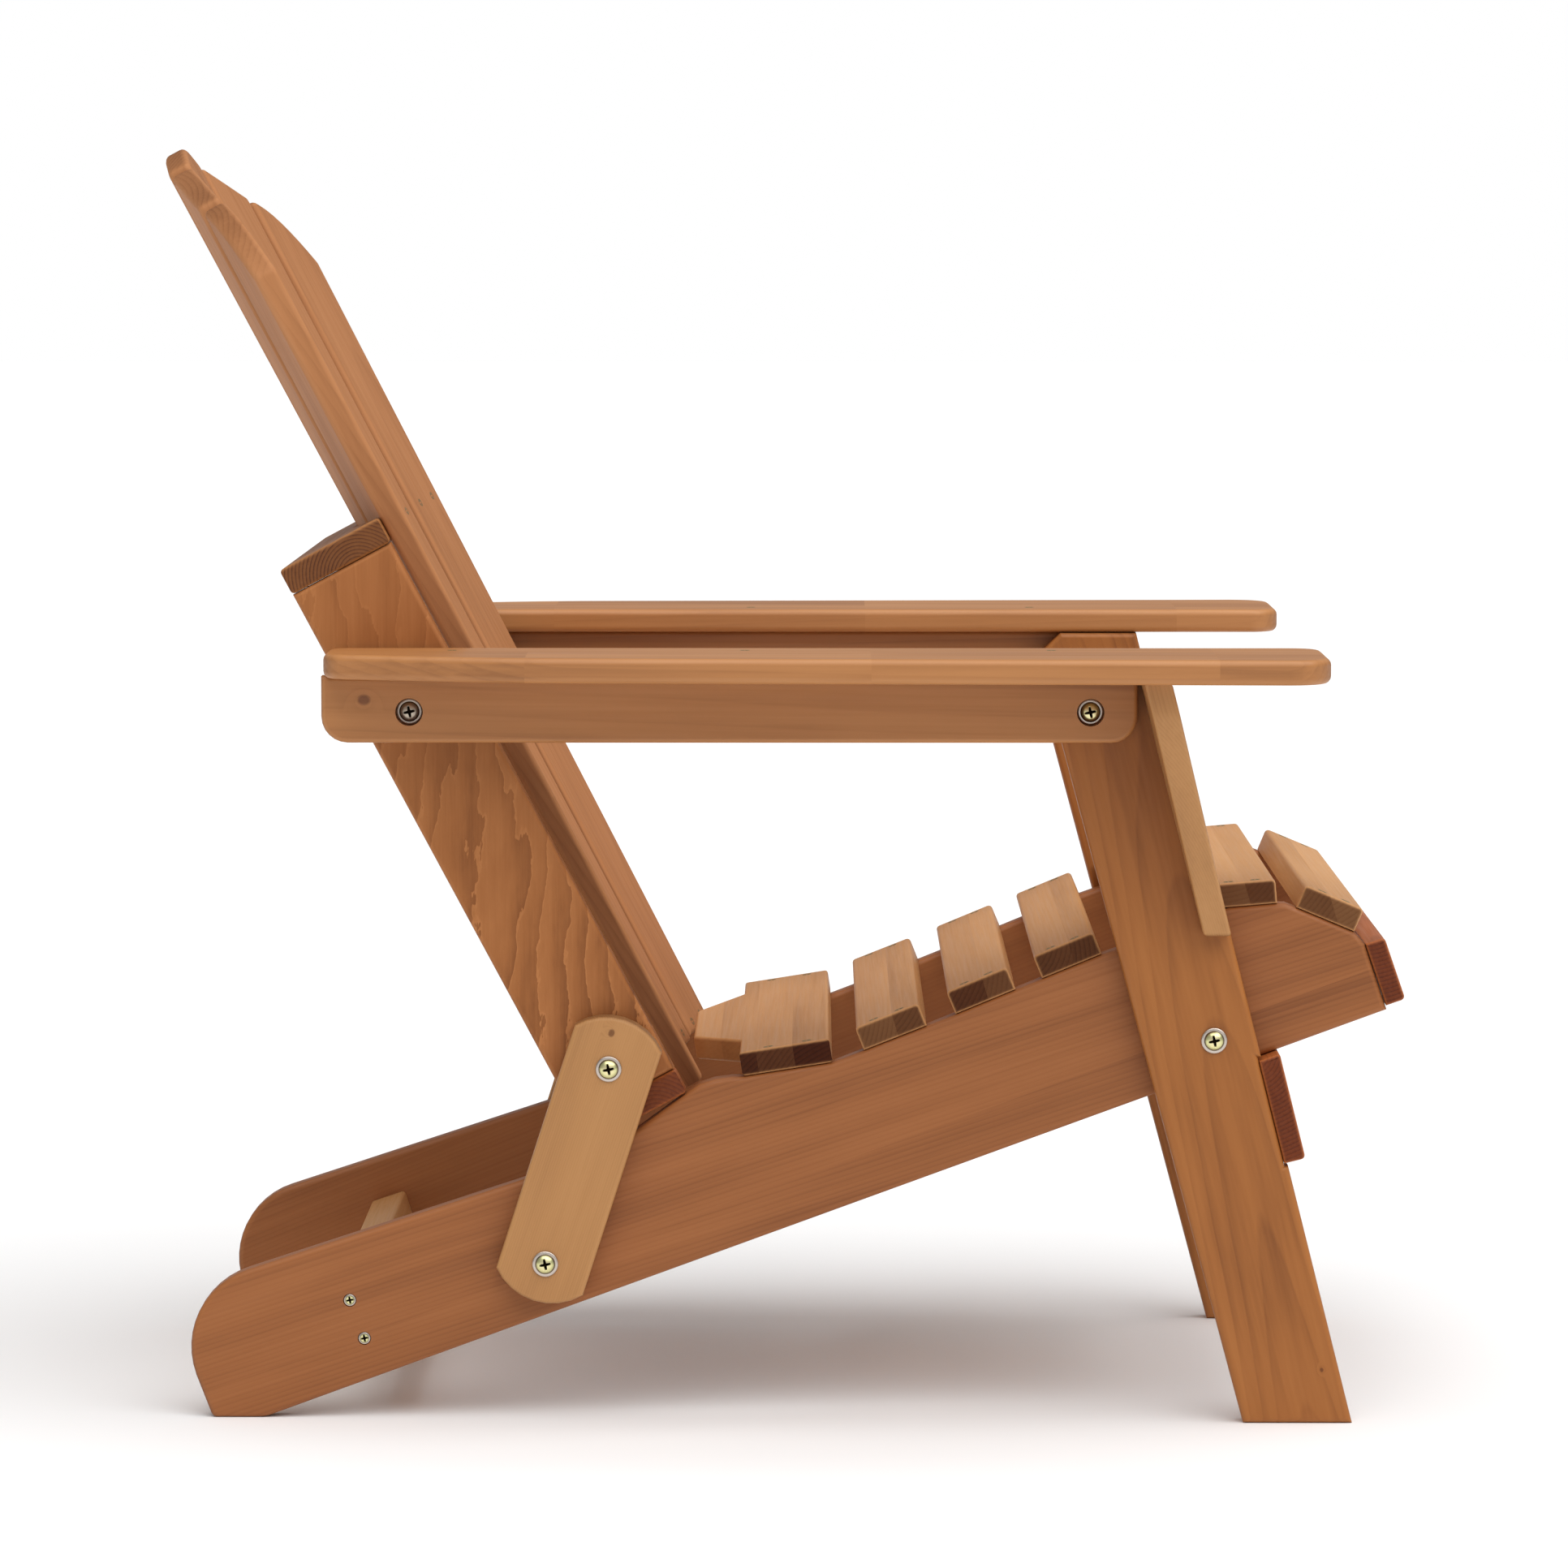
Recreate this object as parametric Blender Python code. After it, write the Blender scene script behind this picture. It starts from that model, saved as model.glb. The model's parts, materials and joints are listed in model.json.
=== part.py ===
# Folding adirondack chair in oiled fir: two stringers carry the seat slats, the front legs turn on
# them, links carry the fan back, and each arm joins a front leg to the back.
# Metres, +Z up, the chair faces -Y, X runs across it.  Side sections are written in millimetres.
import math

import bmesh
import bpy
from mathutils import Vector

for ob in list(bpy.data.objects):
    bpy.data.objects.remove(ob, do_unlink=True)

# ---- driving dimensions, mm ----
half_seat = 225.0        # outer face of a stringer, and half the length of a slat
board_t = 21.0           # stringers, stiles, legs, links and arm rails
slat_t = 17.5            # seat slats
plank_t = 18.0           # back planks and arm boards
gap = 0.3                # clearance between touching pieces
layer = 21.5             # spacing of the side layers
bolt_r = 4.0
hole_r = 4.1
washer_r = 9.5
head_r = 7.25
centre_y = -0.17         # brings the middle of the chair to y = 0

# pivot centres in the side view (y, z)
F1 = (-318.8, 279.8)     # front leg on stringer
F2 = (-227.9, 518.9)     # arm on front leg
B2 = (260.9, 519.2)      # arm on back
B1 = (118.9, 258.9)      # back on link
L = (165.1, 116.6)       # link on stringer

under_slope = math.tan(math.radians(20.16))   # underside of the stringers
arm_under = 545.0
arm_top = 563.0


def under(y):
    return 16.1 + (327.1 - y) * under_slope


# ---- materials ----
def finish(name, rgb, rough, metal=0.0):
    m = bpy.data.materials.new(name)
    m.use_nodes = True
    b = m.node_tree.nodes["Principled BSDF"]
    b.inputs["Base Color"].default_value = (*rgb, 1.0)
    b.inputs["Roughness"].default_value = rough
    b.inputs["Metallic"].default_value = metal
    return m


FIR = (0.42, 0.22, 0.085)
FIR_DARK = (0.30, 0.14, 0.05)
FIR_PALE = (0.52, 0.30, 0.13)
ZINC = (0.62, 0.55, 0.30)


# ---- outline helpers ----
def arc(cx, cy, r, a0, a1, n):
    return [(cx + r * math.cos(math.radians(a0 + (a1 - a0) * i / n)),
             cy + r * math.sin(math.radians(a0 + (a1 - a0) * i / n))) for i in range(n + 1)]


def rounded(points, n=4):
    """Outline with each corner (a, b, r) replaced by a tangent arc of radius r."""
    out = []
    for i, p in enumerate(points):
        r = p[2] if len(p) > 2 else 0.0
        here = Vector(p[:2])
        if r <= 0:
            out.append(tuple(here))
            continue
        a = Vector(points[i - 1][:2]) - here
        b = Vector(points[(i + 1) % len(points)][:2]) - here
        half = a.angle(b) / 2
        if half > 1.56:
            out.append(tuple(here))
            continue
        run = min(r / math.tan(half), 0.49 * a.length, 0.49 * b.length)
        r = run * math.tan(half)
        c = here + (a.normalized() + b.normalized()).normalized() * (r / math.sin(half))
        s = here + a.normalized() * run - c
        e = here + b.normalized() * run - c
        turn = math.atan2(s.x * e.y - s.y * e.x, s.dot(e))
        start = math.atan2(s.y, s.x)
        out += [(c.x + r * math.cos(start + turn * k / n), c.y + r * math.sin(start + turn * k / n))
                for k in range(n + 1)]
    return out


# ---- solids ----
def make(name, verts, faces, material, pivot=None, smooth=False):
    """Object from vertices in mm; its origin sits on the pivot axis when one is given."""
    px, py = (pivot if pivot else (0.0, 0.0))
    me = bpy.data.meshes.new(name)
    me.from_pydata([((x) / 1000, (y - px) / 1000, (z - py) / 1000) for x, y, z in verts], [], faces)
    bm = bmesh.new()
    bm.from_mesh(me)
    bmesh.ops.recalc_face_normals(bm, faces=bm.faces)
    bm.to_mesh(me)
    bm.free()
    if smooth:
        for p in me.polygons:
            p.use_smooth = True
    ob = bpy.data.objects.new(name, me)
    ob.location = (0.0, (px + centre_y) / 1000, py / 1000)
    me.materials.append(material)
    bpy.context.scene.collection.objects.link(ob)
    return ob


def prism(name, ring, lo, hi, place, material, pivot=None):
    """Ring of (a, b) points swept from lo to hi; place(a, b, t) gives x, y, z."""
    n = len(ring)
    verts = [place(a, b, lo) for a, b in ring] + [place(a, b, hi) for a, b in ring]
    faces = [list(range(n))[::-1], list(range(n, 2 * n))]
    faces += [[i, (i + 1) % n, n + (i + 1) % n, n + i] for i in range(n)]
    return make(name, verts, faces, material, pivot)


def side(a, b, t):
    return (t, a, b)


def turned(name, stations, centre, material, pivot=None, bored=False, n=24):
    """Turned body about an X axis: stations are (x, radius, hexagonal)."""
    verts, faces = [], []
    for x, r, hexa in stations:
        for i in range(n):
            th = 2 * math.pi * i / n
            k = r
            if hexa:
                k = r / math.cos((th + math.pi / 6) % (math.pi / 3) - math.pi / 6)
            verts.append((x, centre[0] + k * math.cos(th), centre[1] + k * math.sin(th)))
    m = len(stations)
    for s in range(m if bored else m - 1):
        t = (s + 1) % m
        faces += [[s * n + i, s * n + (i + 1) % n, t * n + (i + 1) % n, t * n + i] for i in range(n)]
    if not bored:
        faces += [list(range(n)), list(range((m - 1) * n, m * n))]
    return make(name, verts, faces, material, pivot)


def drill(ob, holes):
    """Round holes along X; each is (y, z, x0, x1, radius) in mm."""
    for y, z, x0, x1, r in holes:
        tool = turned("tool", [(x0, r, False), (x1, r, False)], (y, z), FIR_MATS[0])
        mod = ob.modifiers.new("hole", "BOOLEAN")
        mod.operation = "DIFFERENCE"
        mod.solver = "EXACT"
        mod.object = tool
        bpy.context.view_layer.update()
        dg = bpy.context.evaluated_depsgraph_get()
        me = bpy.data.meshes.new_from_object(ob.evaluated_get(dg))
        old = ob.data
        ob.modifiers.clear()
        ob.data = me
        bpy.data.meshes.remove(old)
        bpy.data.objects.remove(tool, do_unlink=True)


FIR_MATS = [finish("fir_tool", FIR, 0.6)]


def wood(name, shade=FIR):
    return finish(name + "_fir", shade, 0.55)


# ---- seat frame: stringers, slats, apron, rear brace ----
# flats the slats lie on, rear end first (y, z)
seats = [((22.0, 250.5), (-43.2, 260.8)),
         ((-65.9, 269.5), (-111.6, 287.6)),
         ((-132.4, 296.0), (-176.0, 314.1)),
         ((-195.2, 322.0), (-238.4, 339.9)),
         ((-256.2, 346.2), (-300.6, 363.6)),
         ((-330.1, 374.0), (-365.3, 377.0)),
         ((-378.9, 374.0), (-421.3, 356.3))]
rail_rest = (61.7, 239.2)                      # where the back's lower rail lies on the stringer
front_dir = Vector((-0.325, -0.9457)).normalized()
front_top = Vector((-429.1, 347.4))
toe_y = -445.2

stringer = [(370.9, 0, 30), (409, 0, 5)]
stringer += arc(364.5, 51.5, 60.0, -20, 72, 12)
stringer += [(181, 175.3), (123, 194.2), rail_rest]
stringer += [(53.5, 245.0), (42.9, 248.4), (30.0, 250.3)]
for rear, front in seats[:5]:
    stringer += [rear, front]
stringer += [seats[5][0], seats[5][1], (-371.0, 377.0), seats[6][0], seats[6][1]]
stringer += [tuple(front_top), (toe_y, under(toe_y))]
stringer = rounded(stringer, 5)

brace_top = (319.4, 96.6)
brace_run = Vector((-0.9484, 0.3172))
brace_down = Vector((-0.3172, -0.9484))
brace_screws = [(308.4, 86.4), (297.9, 58.4)]

for sx, tag in ((-1, "right"), (1, "left")):
    ob = prism("stringer_" + tag, stringer, sx * (half_seat - board_t), sx * half_seat, side,
               wood("stringer_" + tag))
    drill(ob, [(*F1, sx * 200, sx * 230, hole_r), (*L, sx * 200, sx * 230, hole_r)]
          + [(*p, sx * 200, sx * 230, 2.4) for p in brace_screws]
          + [(*p, sx * 222.5, sx * 230, 4.8) for p in brace_screws])

for i, (rear, front) in enumerate(seats):
    a, b = Vector(rear), Vector(front)
    d = (b - a).normalized()
    up = Vector((d.y, -d.x))
    if i == 5:
        a = a - d * 12.6                       # this slat overhangs its flat at the rear
    if i == 0:
        # rear slat: full width over the stringers, a tapered tongue runs back into the planks' hollow
        outer, root, tip, reach = half_seat, 148.0, 80.0, -36.0
        lo, hi = 0.0, (b - a).length
        ring = rounded([(-outer, lo), (-outer, hi), (outer, hi), (outer, lo), (root, lo, 18), (tip, reach, 6),
                        (-tip, reach, 6), (-root, lo, 18)], 5)

        def on_seat(x, s, t, a=a, d=d, up=up):
            q = a + d * s + up * t
            return (x, q.x, q.y)

        prism("seat_slat_1", ring, gap, gap + slat_t, on_seat, wood("seat_slat_1", FIR_PALE))
        continue
    r = 3.0
    q = [a + up * gap, b + up * gap, b + up * (gap + slat_t), a + up * (gap + slat_t)]
    ring = rounded([(*q[0],), (*q[1],), (*q[2], r), (*q[3], r)], 3)
    prism("seat_slat_%d" % (i + 1), ring, -half_seat, half_seat, side,
          wood("seat_slat_%d" % (i + 1), FIR_PALE))

n = Vector((front_dir.y, -front_dir.x))        # forward, out of the apron
a = front_top + n * gap
q = [a, a + front_dir * 47.5, a + front_dir * 47.5 + n * 14.7, a + n * 14.7]
prism("seat_apron", rounded([(*q[0],), (*q[1],), (*q[2], 3), (*q[3], 3)], 3), -half_seat, half_seat,
      side, wood("seat_apron"))

a = Vector(brace_top)
q = [a, a + brace_run * 28, a + brace_run * 28 + brace_down * 60, a + brace_down * 60]
inner = half_seat - board_t - gap
ob = prism("rear_brace", rounded([(*p, 2.5) for p in q], 3), -inner, inner, side,
           wood("rear_brace", FIR_DARK))
drill(ob, [(*p, s * (inner - 42), s * (inner + 5), 2.4) for p in brace_screws for s in (-1, 1)])
for sx, tag in ((-1, "right"), (1, "left")):
    for p, end in zip(brace_screws, ("top", "bottom")):
        turned("brace_screw_%s_%s" % (tag, end),
               [(sx * (inner - 38), 2.0, False), (sx * 222.8, 2.0, False), (sx * 222.9, 4.5, False),
                (sx * 224.7, 4.5, False)], p, finish("screw_zinc_%s_%s" % (tag, end), ZINC, 0.35, 1.0))

# ---- front legs: boards, leg brace, arm brackets ----
edge_front, lean_front = -420.5, 0.2523
edge_rear, lean_rear = -341.4, 0.2693
leg_top = 544.4
leg_arc = 25.5                                  # rounds the rear shoulder about the arm pivot
chamfer = 21.5
a_ch = 46.0
half_ch = math.degrees(math.acos(chamfer / leg_arc))
perp = abs(edge_rear + lean_rear * F2[1] - F2[0]) * math.cos(math.atan(lean_rear))
a_rear = -math.degrees(math.atan(lean_rear)) + math.degrees(math.acos(min(1.0, perp / leg_arc)))
c, s = math.cos(math.radians(a_ch)), math.sin(math.radians(a_ch))
ch_top = F2[0] + (chamfer - (leg_top - F2[1]) * s) / c
notch_top, notch_low = Vector((-350.5, 267.4)), Vector((-370.4, 188.1))

leg = [(edge_rear, 0), (edge_front, 0), (edge_front + lean_front * 188.1, 188.1), tuple(notch_low),
       tuple(notch_top), (edge_front + lean_front * 267.4, 267.4),
       (edge_front + lean_front * leg_top, leg_top), (ch_top, leg_top)]
leg += arc(*F2, leg_arc, a_ch - half_ch, a_rear, 4)

x0, x1 = half_seat + gap + 0.2, half_seat + layer
for sx, tag in ((-1, "right"), (1, "left")):
    ob = prism("leg_" + tag, leg, sx * x0, sx * x1, side, wood("leg_" + tag), F1)
    drill(ob, [(*F1, sx * 220, sx * 250, hole_r), (*F2, sx * 220, sx * 250, hole_r)])

d = (notch_low - notch_top).normalized()
n = Vector((d.y, -d.x))


def meet_stop(p):
    """Point below p on the brace's face, 0.55 under the stringer it stops against."""
    return p + d * ((under(p.x) - 0.55 - p.y) / (d.y + d.x * under_slope))


a = notch_top + n * gap
low = a + d * 80.0
ring = rounded([(*meet_stop(a),), (low.x, low.y), (*(low + n * 15.8), 3),
                (*meet_stop(a + n * 15.8), 2)], 3)
prism("leg_brace", ring, -x1, x1, side, wood("leg_brace", FIR_DARK), F1)


def on_front(x, z, t):
    return (x, edge_front + lean_front * z + t, z)


for sx, tag in ((-1, "right"), (1, "left")):
    ring = rounded([(sx * (x1 + gap), 357), (sx * 262, 357, 5), (sx * 335, 520, 25),
                    (sx * 335, leg_top), (sx * (x1 + gap), leg_top)], 4)
    prism("arm_bracket_" + tag, ring, 0.2, 20.1, on_front, wood("arm_bracket_" + tag), F1)

# ---- links ----
b1, l = Vector(B1), Vector(L)
run = (b1 - l).length
ax = (b1 - l) / run
ac = Vector((-ax.y, ax.x))
h, end_r = 33.0, 44.0
dip = math.degrees(math.asin(h / end_r))
back_off = math.sqrt(end_r ** 2 - h ** 2)
tip = run + 22.6 - back_off
ring = arc(tip, 0, end_r, -dip, dip, 8) + arc(-14 + back_off, 0, end_r, 180 - dip, 180 + dip, 8)


def on_link(a, b, t):
    p = l + ax * a + ac * b
    return (t, p.x, p.y)


for sx, tag in ((-1, "right"), (1, "left")):
    ob = prism("link_" + tag, ring, sx * x0, sx * x1, on_link, wood("link_" + tag, FIR_PALE), L)
    drill(ob, [(*L, sx * 220, sx * 250, hole_r), (*B1, sx * 220, sx * 250, hole_r)])

# ---- back: stiles, two concave rails, five planks in a fan ----
up_dir = Vector((0.4715, 0.8819)).normalized()
fwd = Vector((-up_dir.y, up_dir.x))
half_rail = 40.0
low_rail = (-44.0, -24.5 - gap)
high_rail = (409.0 + gap, 429.0)
dish, dish_w, dish_power = 34.5, 204.0, 1.35


def on_back(x, u, v):
    p = Vector(B1) + up_dir * u + fwd * v
    return (x, p.x, p.y)


def dish_v(x):
    return half_rail - dish * (1 - (abs(x) / dish_w) ** dish_power)


for sx, tag in ((-1, "right"), (1, "left")):
    ring = [(-24.5, -half_rail), (409, -half_rail), (409, half_rail), (-24.5, half_rail)]
    ob = prism("back_stile_" + tag, ring, sx * (half_seat - board_t), sx * half_seat,
               lambda u, v, t: on_back(t, u, v), wood("back_stile_" + tag), B1)
    drill(ob, [(*B1, sx * 200, sx * 230, hole_r), (*B2, sx * 200, sx * 230, hole_r)])

for name, (u0, u1) in (("back_rail_lower", low_rail), ("back_rail_upper", high_rail)):
    steps = 20
    ring = [(-half_seat, -half_rail), (half_seat, -half_rail), (half_seat, half_rail)]
    ring += [(x, dish_v(x)) for x in (dish_w - 2 * dish_w * k / steps for k in range(steps + 1))]
    ring += [(-half_seat, half_rail)]
    prism(name, ring, u0, u1, lambda x, v, t: on_back(x, t, v), wood(name), B1)

plank_low, plank_high = -34.0, 419.5            # stations of the two rails along the planks
pitch_low, pitch_high = 73.4, 84.6
half_low, half_high = 33.2, 38.8
crown_u, crown_slope, crown_soft = 739.0, 0.41, 5.0


def crown(x):
    """Top edge of the fan: a soft-peaked gable whose shoulders fall away past x = 150."""
    shoulder = 0.0066 * max(0.0, abs(x) - 150) ** 2
    return crown_u - (math.hypot(crown_slope * x, crown_soft) - crown_soft) - shoulder


for k in range(-2, 3):
    def chord(u, mid, half):
        return (Vector((mid - half, u, dish_v(mid - half))), Vector((mid + half, u, dish_v(mid + half))))

    p0, p1 = chord(plank_low, k * pitch_low, half_low)
    p2, p3 = chord(plank_high, k * pitch_high, half_high)
    along = ((p2 + p3) / 2 - (p0 + p1) / 2).normalized()
    across = ((p1 - p0).normalized() + (p3 - p2).normalized()).normalized()
    across = (across - along * across.dot(along)).normalized()
    out = across.cross(along)
    if out.z < 0:
        out = -out
    base = (p0 + p1) / 2
    span = ((p2 + p3) / 2 - base).length
    grow = (half_high - half_low) / span
    s0 = (-44.0 - plank_low) / along.y

    def width(s):
        return half_low + grow * s

    tops = []
    for i in range(9):
        f = -1 + 2 * i / 8
        s = span + 200
        for _ in range(6):
            x = (base + along * s + across * (f * width(s))).x
            s += crown(x) - (base + along * s + across * (f * width(s))).y
        tops.append((f * width(s), s, 7.0 if i in (0, 8) else 0.0))
    ring = rounded([(width(s0), s0), *tops[::-1], (-width(s0), s0)], 4)

    def on_plank(a, s, t, base=base, along=along, across=across, out=out):
        q = base + across * a + along * s + out * t
        return on_back(q.x, q.y, q.z)

    prism("back_plank_%d" % (k + 3), ring, 0.7, 0.7 + plank_t, on_plank,
          wood("back_plank_%d" % (k + 3)), B1)

# ---- arms: flat board on a rail, bolted to the leg and the back ----
rail_in, rail_out = half_seat + 22.0, half_seat + 43.0
rail_low = 497.0
for sx, tag in ((-1, "right"), (1, "left")):
    plan = rounded([(sx * 228, -395, 22), (sx * 366, -395, 30), (sx * 345, 180, 300),
                    (sx * 302, 321, 24), (sx * 228, 321, 16)], 6)
    prism("arm_board_" + tag, plan, arm_under, arm_top, lambda a, b, t: (a, b, t),
          wood("arm_board_" + tag, FIR_PALE), F2)
    ring = rounded([(-261.7, rail_low, 19), (324, rail_low, 19), (324, arm_under - gap),
                    (-261.7, arm_under - gap)], 6)
    ob = prism("arm_rail_" + tag, ring, sx * rail_in, sx * rail_out, side, wood("arm_rail_" + tag), F2)
    drill(ob, [(*F2, sx * 240, sx * 275, hole_r), (*B2, sx * 240, sx * 275, hole_r),
               (*F2, sx * (rail_out - 8), sx * 275, washer_r + 0.4),
               (*B2, sx * (rail_out - 8), sx * 275, washer_r + 0.4)])
    turned("arm_spacer_" + tag,
           [(sx * 226.0, hole_r, False), (sx * 226.0, 18.0, False), (sx * 246.6, 18.0, False),
            (sx * 246.6, hole_r, False)], B2, wood("arm_spacer_" + tag), F2, bored=True)

# ---- bolts and nuts ----
for sx, tag in ((-1, "right"), (1, "left")):
    for name, c, pivot, face, end in (("leg", F1, F1, x1, 191.0), ("link_low", L, L, x1, 191.0),
                                      ("link_high", B1, L, x1, 191.0),
                                      ("arm_front", F2, F2, rail_out - 8, 213.0),
                                      ("arm_rear", B2, F2, rail_out - 8, 226.2)):
        f = face + gap
        turned("bolt_%s_%s" % (name, tag),
               [(sx * end, bolt_r, False), (sx * f, bolt_r, False), (sx * f, washer_r, False),
                (sx * (f + 1.3), washer_r, False), (sx * (f + 1.3), head_r, False),
                (sx * (f + 2.6), head_r, False), (sx * (f + 4.2), head_r * 0.86, False),
                (sx * (f + 5.0), head_r * 0.5, False)],
               c, finish("zinc_bolt_%s_%s" % (name, tag), ZINC, 0.35, 1.0), pivot)
    inside = half_seat - board_t
    for name, c, pivot, face in (("leg", F1, F1, inside), ("link_low", L, L, inside),
                                 ("link_high", B1, L, inside), ("arm_front", F2, F2, half_seat + 0.5)):
        f = face - gap
        turned("nut_%s_%s" % (name, tag),
               [(sx * f, hole_r, False), (sx * f, washer_r, False), (sx * (f - 1.3), washer_r, False),
                (sx * (f - 1.3), 6.5, True), (sx * (f - 8.0), 6.5, True), (sx * (f - 8.0), hole_r, False)],
               c, finish("zinc_nut_%s_%s" % (name, tag), ZINC, 0.4, 1.0), pivot, bored=True)
    # the rear arm pivot is open: this half stays with the back
    turned("nut_arm_rear_" + tag,
           [(sx * 224.7, bolt_r, False), (sx * (inside - gap), bolt_r, False),
            (sx * (inside - gap), washer_r, False), (sx * (inside - gap - 1.3), washer_r, False),
            (sx * (inside - gap - 1.3), 6.5, True), (sx * (inside - gap - 8.0), 6.5, True)],
           B2, finish("zinc_nut_arm_rear_" + tag, ZINC, 0.4, 1.0), B1)

bpy.data.materials.remove(FIR_MATS[0])
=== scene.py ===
import json
import math

import bpy
import numpy as np
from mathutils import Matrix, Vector
from mathutils.geometry import tessellate_polygon


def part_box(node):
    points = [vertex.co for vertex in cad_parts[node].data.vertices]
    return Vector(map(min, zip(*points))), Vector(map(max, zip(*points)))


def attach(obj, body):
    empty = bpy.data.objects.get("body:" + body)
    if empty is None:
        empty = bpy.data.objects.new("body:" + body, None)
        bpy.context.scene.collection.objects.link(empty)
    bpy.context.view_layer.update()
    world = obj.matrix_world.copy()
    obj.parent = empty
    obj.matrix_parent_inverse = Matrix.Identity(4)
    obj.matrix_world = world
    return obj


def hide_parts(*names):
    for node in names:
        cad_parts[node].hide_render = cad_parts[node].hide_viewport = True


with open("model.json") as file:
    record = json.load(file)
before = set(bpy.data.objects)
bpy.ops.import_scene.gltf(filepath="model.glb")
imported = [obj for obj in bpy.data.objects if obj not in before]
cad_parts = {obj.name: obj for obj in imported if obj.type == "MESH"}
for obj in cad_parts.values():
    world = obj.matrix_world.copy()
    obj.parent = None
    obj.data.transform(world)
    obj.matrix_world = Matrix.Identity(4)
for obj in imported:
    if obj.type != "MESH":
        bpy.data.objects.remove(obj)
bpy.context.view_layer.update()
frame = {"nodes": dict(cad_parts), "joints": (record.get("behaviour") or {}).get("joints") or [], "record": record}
nodes = frame["nodes"]
record = frame["record"]
bodyOf = {n: body for body, members in record["behaviour"]["bodies"].items() for n in members}
pivot = {j["name"]: np.array(j["pos_m"]) for j in frame["joints"]}
mm = 0.001
sides = (("right", -1.0), ("left", 1.0))


def linear(hexColour, shade=(1, 1, 1)):
    # sRGB hex to linear: c / 12.92 below 0.04045, else ((c + 0.055) / 1.055) ^ 2.4, then times shade
    c = np.array([int(hexColour[i:i + 2], 16) for i in (1, 3, 5)]) / 255
    c = np.where(c <= 0.04045, c / 12.92, ((c + 0.055) / 1.055) ** 2.4) * shade
    return (*[float(v) for v in np.minimum(c, 1)], 1.0)


def unit(v):
    return np.asarray(v, float) / np.linalg.norm(v)


def addNode(tree, kind, links=None, **settings):
    # links maps an input to a value, to an output socket, or to a node, which means its first output
    node = tree.nodes.new("ShaderNode" + kind)
    for key, value in settings.items():
        setattr(node, key, value)
    for key, value in (links or {}).items():
        value = value.outputs[0] if isinstance(value, bpy.types.Node) else value
        if isinstance(value, bpy.types.NodeSocket):
            tree.links.new(value, node.inputs[key])
        else:
            node.inputs[key].default_value = value
    return node


def setStops(ramp, stops):
    elements = ramp.color_ramp.elements
    while len(elements) < len(stops):
        elements.new(0.5)
    for element, (position, colour) in zip(elements, stops):
        element.position, element.color = position, colour


def newMaterial(name, **shader):
    material = bpy.data.materials.new(name)
    material.use_nodes = True
    principled = material.node_tree.nodes["Principled BSDF"]
    for key, value in shader.items():
        principled.inputs[key].default_value = value
    return material, material.node_tree, principled


# Oiled fir: soft early wood and narrow reddish late wood, planed, sanded and oiled. That gives a satin
# honey brown, cloudy where the oil soaked in unevenly, dark on end grain, and paler on arrises: partly rubbed
# wear, partly a painted highlight.
firFinish = {
    "mid": "#A5653B",
    "light": (1.34, 1.45, 1.60),     # early wood, times mid
    "deep": (0.42, 0.34, 0.30),      # late wood, times mid
    "end": (0.16, 0.09, 0.06),       # end grain, times the colour at that place
    "ringOnEnd": 0.35,               # rings are clearer on end grain by this much
    "ringWidth": 4.0 * mm,
    "ringContrast": 0.16,
    "ringShape": ((0.0, 0.10), (0.45, 0.16), (0.80, 0.72), (0.93, 1.0), (0.985, 0.35), (1.0, 0.10)),
    "ringMean": 0.38,                # average of that shape
    "wander": 5.0 * mm,              # how far a ring strays, over the lengths that wanderScale sets
    "wanderScale": (1.6, 13.0, 13.0),
    "wanderDetail": 2.0,
    "wanderRough": 0.5,
    # each layer is (1 / size in metres along, across, deep), detail, strength
    "layers": (((3.5, 18.0, 18.0), 4.0, 0.62),       # cloudy uptake of the oil
               ((3.0, 130.0, 130.0), 2.0, 0.30),     # streaks about 8 mm wide
               ((8.0, 480.0, 480.0), 3.0, 0.26)),    # fibres, drawn 2 mm apart so that they show
    "strips": 0.0,                   # tone step between glued strips
    "jump": (3.0, 0.09, 0.07),       # most that a glued strip's place in its log differs, metres
    "soak": (0.9, 1.0),              # least and most oil that the end of a glued strip drinks
    "knotBulge": 9.0 * mm,           # how far rings bend round a knot, out to knotReach of its radius
    "knotReach": 4.0,
    "knotEdge": (1.25, 0.75),        # a knot darkens between these shares of its radius, by knotDark
    "knotDark": 0.5,
    "arrisWearAndHighlight": 0.13,               # how much paler an arris is, from rubbed wear and a painted highlight; the painted edge shade is scaled by it too
    "roughness": 0.42,
    "roughSpread": (-0.05, 0.10),    # added on smooth and on open fibres
    "endRough": 0.30,                # end grain is this much rougher
    "gloss": 0.35,
    "bump": 0.16,
    "bumpDepth": 0.35 * mm,
    "ringDepth": 0.3,                # late wood stands this share of the fibres' height lower
}


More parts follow.
